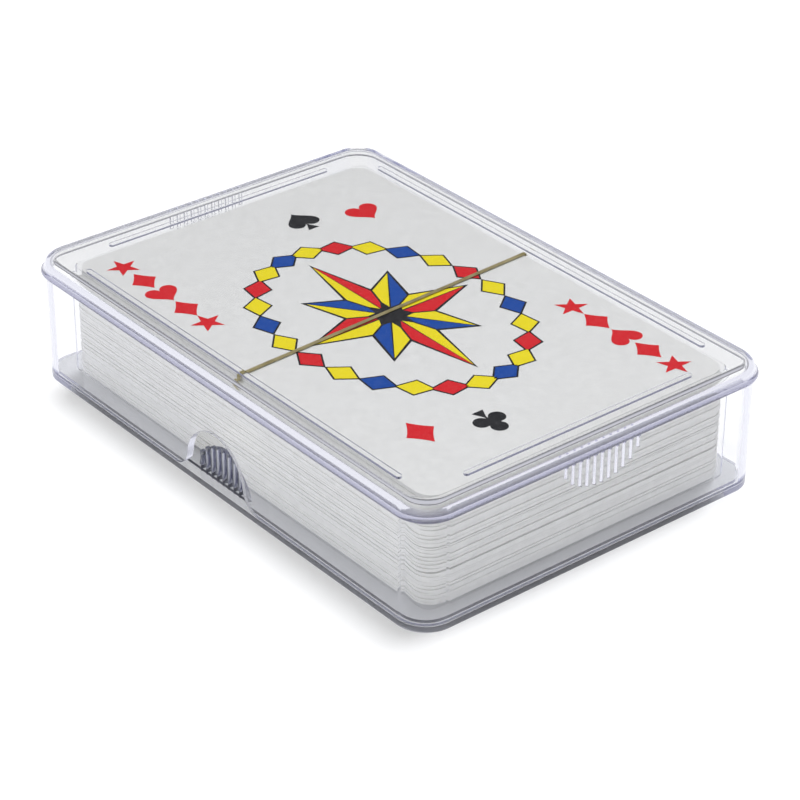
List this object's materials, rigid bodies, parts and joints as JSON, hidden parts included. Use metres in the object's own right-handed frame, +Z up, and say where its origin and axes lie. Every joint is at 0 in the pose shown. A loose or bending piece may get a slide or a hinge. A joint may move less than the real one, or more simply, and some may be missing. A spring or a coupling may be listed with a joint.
{
  "type": "playing card deck in a clear case",
  "caption": "Film-sealed deck of playing cards with a gold tear strip, in a clear plastic case: stepped base with ribbed grip tabs, lift-off lid with lip and thumb notches.",
  "frame": {"origin": "middle of the base plate's underside, which the case stands on", "axes": "+Z up through the lid; +Y along the cards' long side; +X across the cards"},
  "size_m": [0.0686, 0.0986, 0.0214],
  "materials": {
    "clear_plastic": "clear, polished",
    "film": "clear, thin film",
    "gold_strip": "satin gold",
    "card_stock": "coated, satin"
  },
  "bodies": {
    "base": {"case_base": "clear_plastic"},
    "deck": {"wrapper_film": "film", "tear_strip": "gold_strip", "card_ace_of_clubs": "card_stock", "card_two_of_clubs": "card_stock", "card_three_of_clubs": "card_stock", "card_four_of_clubs": "card_stock", "card_five_of_clubs": "card_stock", "card_six_of_clubs": "card_stock", "card_seven_of_clubs": "card_stock", "card_eight_of_clubs": "card_stock", "card_nine_of_clubs": "card_stock", "card_ten_of_clubs": "card_stock", "card_jack_of_clubs": "card_stock", "card_queen_of_clubs": "card_stock", "card_king_of_clubs": "card_stock", "card_ace_of_diamonds": "card_stock", "card_two_of_diamonds": "card_stock", "card_three_of_diamonds": "card_stock", "card_four_of_diamonds": "card_stock", "card_five_of_diamonds": "card_stock", "card_six_of_diamonds": "card_stock", "card_seven_of_diamonds": "card_stock", "card_eight_of_diamonds": "card_stock", "card_nine_of_diamonds": "card_stock", "card_ten_of_diamonds": "card_stock", "card_jack_of_diamonds": "card_stock", "card_queen_of_diamonds": "card_stock", "card_king_of_diamonds": "card_stock", "card_ace_of_hearts": "card_stock", "card_two_of_hearts": "card_stock", "card_three_of_hearts": "card_stock", "card_four_of_hearts": "card_stock", "card_five_of_hearts": "card_stock", "card_six_of_hearts": "card_stock", "card_seven_of_hearts": "card_stock", "card_eight_of_hearts": "card_stock", "card_nine_of_hearts": "card_stock", "card_ten_of_hearts": "card_stock", "card_jack_of_hearts": "card_stock", "card_queen_of_hearts": "card_stock", "card_king_of_hearts": "card_stock", "card_ace_of_spades": "card_stock", "card_two_of_spades": "card_stock", "card_three_of_spades": "card_stock", "card_four_of_spades": "card_stock", "card_five_of_spades": "card_stock", "card_six_of_spades": "card_stock", "card_seven_of_spades": "card_stock", "card_eight_of_spades": "card_stock", "card_nine_of_spades": "card_stock", "card_ten_of_spades": "card_stock", "card_jack_of_spades": "card_stock", "card_queen_of_spades": "card_stock", "card_king_of_spades": "card_stock", "card_joker_1": "card_stock", "card_joker_2": "card_stock"},
    "lid": {"case_lid": "clear_plastic"}
  },
  "joints": [
    {"name": "deck_lift", "type": "slide", "parent": "base", "child": "deck", "axis": [0, 0, 1], "range_m": [0, 0.03]},
    {"name": "lid_lift", "type": "slide", "parent": "deck", "child": "lid", "axis": [0, 0, 1], "range_m": [0, 0.045]}
  ]
}
